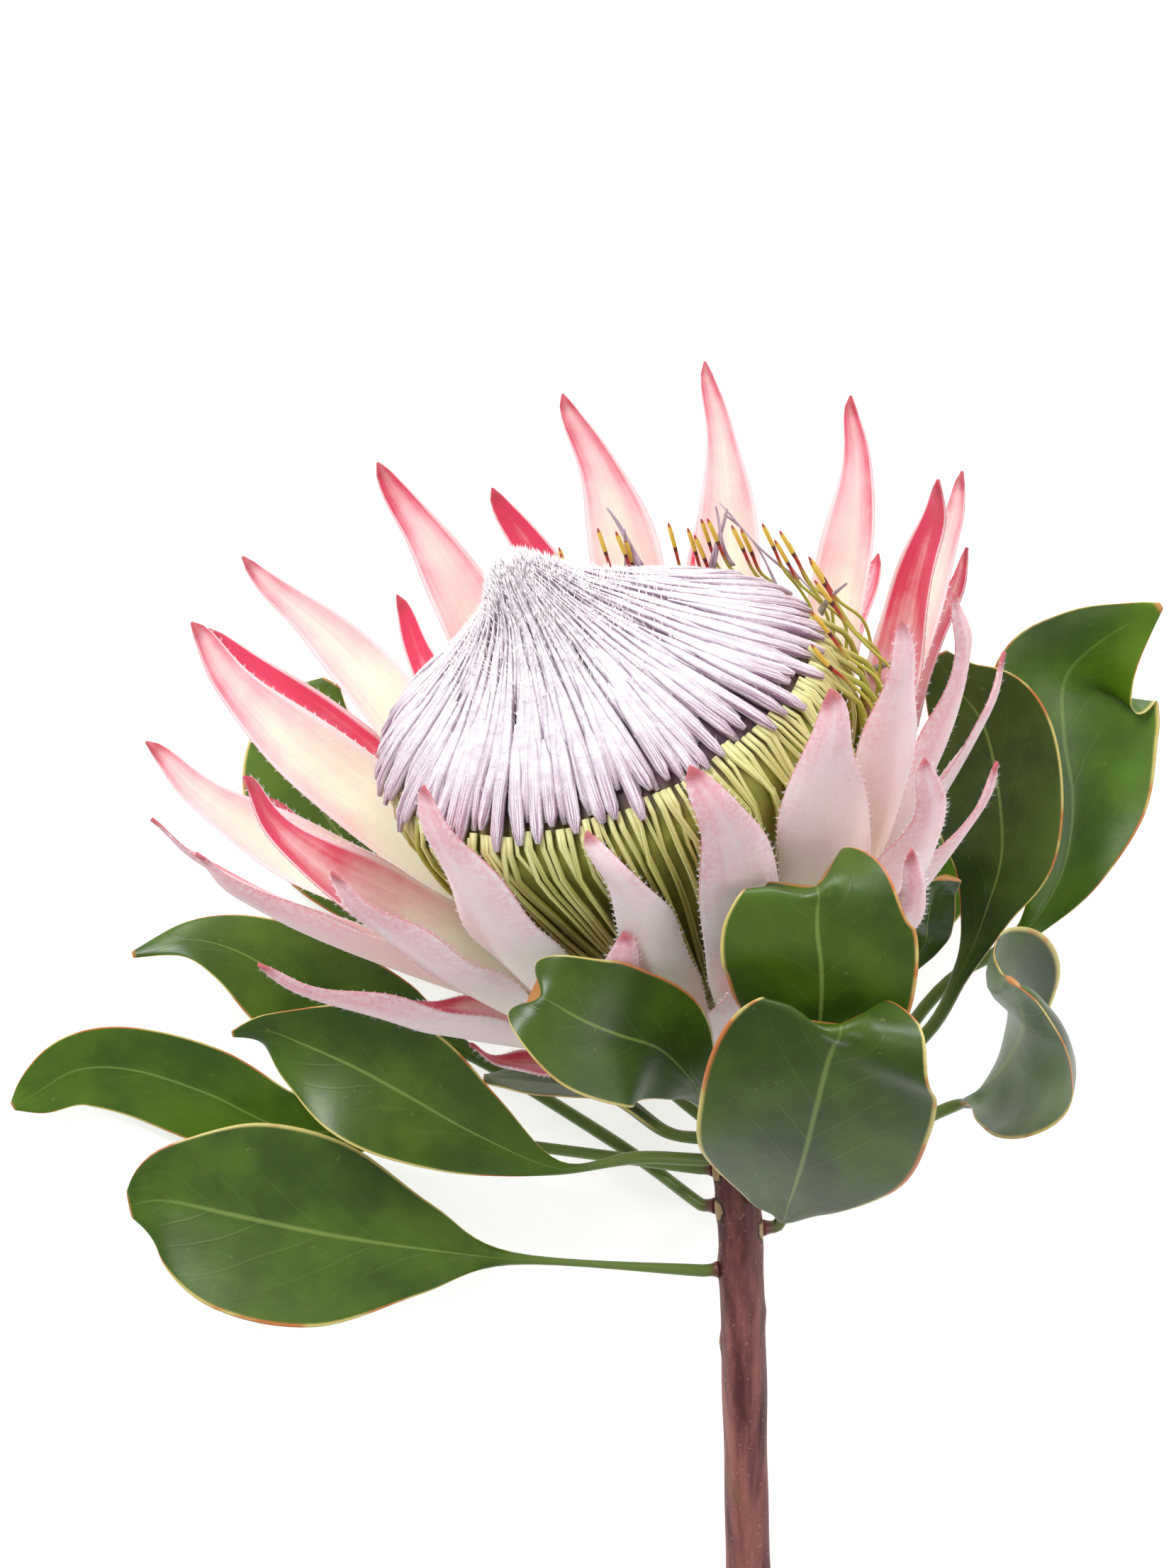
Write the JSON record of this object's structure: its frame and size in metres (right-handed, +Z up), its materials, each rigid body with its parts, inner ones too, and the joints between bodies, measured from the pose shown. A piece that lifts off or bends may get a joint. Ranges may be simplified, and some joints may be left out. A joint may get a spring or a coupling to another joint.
{
  "type": "king protea flower",
  "caption": "Cut king protea flower head on its leafy stem, lying on its back, for display on a table or in an arrangement",
  "frame": {"origin": "under the middle of the flower's box, on the surface that it lies on", "axes": "+Y from the cut end of the stem to the flower head, +Z up, +X to the right of the head seen from above"},
  "size_m": [0.243, 0.292, 0.1278],
  "materials": {
    "stem_bark": "matt red-brown bark of a young woody stem",
    "floret_wool": "white and lilac woolly hairs over packed yellow-green florets",
    "leaf_green": "leathery dark green blade with a satin shine, a yellow margin and a pale midrib",
    "bract_inner": "cream at the foot, pink above, crimson edges, velvety outside",
    "bract_outer": "pink and whitish, velvety outside, crimson tip",
    "bract_scale": "short purple-pink scale with a hairy edge"
  },
  "bodies": {
    "root": {"bract_inner_01": "bract_inner", "bract_inner_02": "bract_inner", "bract_inner_03": "bract_inner", "bract_inner_04": "bract_inner", "bract_inner_05": "bract_inner", "bract_inner_06": "bract_inner", "bract_inner_07": "bract_inner", "bract_inner_08": "bract_inner", "bract_inner_09": "bract_inner", "bract_inner_10": "bract_inner", "bract_inner_11": "bract_inner", "bract_inner_12": "bract_inner", "bract_inner_13": "bract_inner", "bract_middle_01": "bract_inner", "bract_middle_02": "bract_inner", "bract_middle_03": "bract_inner", "bract_middle_04": "bract_inner", "bract_middle_05": "bract_inner", "bract_middle_06": "bract_inner", "bract_middle_07": "bract_inner", "bract_middle_08": "bract_inner", "bract_middle_09": "bract_inner", "bract_middle_10": "bract_inner", "bract_middle_11": "bract_inner", "bract_outer_01": "bract_outer", "bract_outer_02": "bract_outer", "bract_outer_03": "bract_outer", "bract_outer_04": "bract_outer", "bract_outer_05": "bract_outer", "bract_outer_06": "bract_outer", "bract_outer_07": "bract_outer", "bract_outer_08": "bract_outer", "bract_outer_09": "bract_outer", "bract_outer_10": "bract_outer", "bract_outer_11": "bract_outer", "bract_outer_12": "bract_outer", "bract_outer_13": "bract_outer", "bract_scale_01": "bract_scale", "bract_scale_02": "bract_scale", "bract_scale_03": "bract_scale", "bract_scale_04": "bract_scale", "bract_scale_05": "bract_scale", "bract_scale_06": "bract_scale", "bract_scale_07": "bract_scale", "florets": "floret_wool", "leaf_back_left": "leaf_green", "leaf_back_right": "leaf_green", "leaf_curled_right": "leaf_green", "leaf_curled_small": "leaf_green", "leaf_far_left": "leaf_green", "leaf_far_right": "leaf_green", "leaf_front_lower": "leaf_green", "leaf_front_small": "leaf_green", "leaf_front_upper": "leaf_green", "leaf_left": "leaf_green", "leaf_lower_left": "leaf_green", "leaf_right": "leaf_green", "leaf_side_left": "leaf_green", "leaf_upper_left": "leaf_green", "stem": "stem_bark"}
  },
  "joints": []
}
